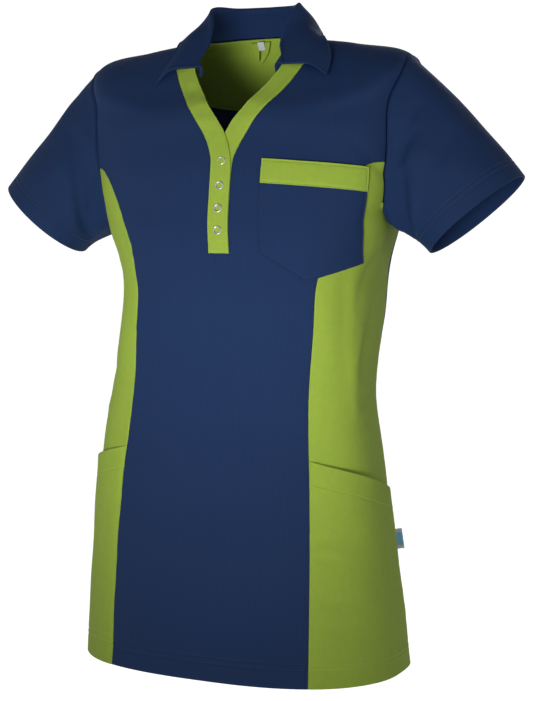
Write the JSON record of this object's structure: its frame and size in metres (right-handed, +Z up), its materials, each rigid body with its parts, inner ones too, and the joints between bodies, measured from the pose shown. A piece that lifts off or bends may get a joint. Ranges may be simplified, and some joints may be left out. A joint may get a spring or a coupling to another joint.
{
  "type": "short-sleeved work polo shirt",
  "caption": "Fitted short-sleeved work polo in a long tunic cut, worn shape and hollow, with a V placket, contrast side panels, chest pocket and hip pockets.",
  "frame": {"origin": "middle of the neck opening, level with the points where the shoulder seams meet the neck, where the wearer's shoulders carry the shirt", "axes": "+Z up along the wearer's body, -Y to the front with the placket, +X to the wearer's left, where the chest pocket is"},
  "size_m": [0.6265, 0.289, 0.7599],
  "materials": {
    "navy_cloth": "matte navy polyester-cotton knit with fine upright ribs",
    "lime_cloth": "matte lime green polyester-cotton knit with a faint soft sheen",
    "label_cloth": "smooth woven label tape, blank",
    "snap_steel": "polished nickel-plated ring snaps"
  },
  "bodies": {
    "root": {"back_neck_facing": "lime_cloth", "back_panel": "navy_cloth", "chest_pocket": "navy_cloth", "chest_pocket_band": "lime_cloth", "collar": "navy_cloth", "front_panel": "navy_cloth", "hanger_loop": "lime_cloth", "neck_band_left": "lime_cloth", "neck_band_right": "lime_cloth", "ring_stud_1": "snap_steel", "ring_stud_2": "snap_steel", "ring_stud_3": "snap_steel", "ring_stud_4": "snap_steel", "side_label": "label_cloth", "side_panel_left": "lime_cloth", "side_panel_right": "lime_cloth", "side_pocket_left": "lime_cloth", "side_pocket_right": "lime_cloth", "size_label": "label_cloth", "sleeve_left": "navy_cloth", "sleeve_right": "navy_cloth"}
  },
  "joints": []
}
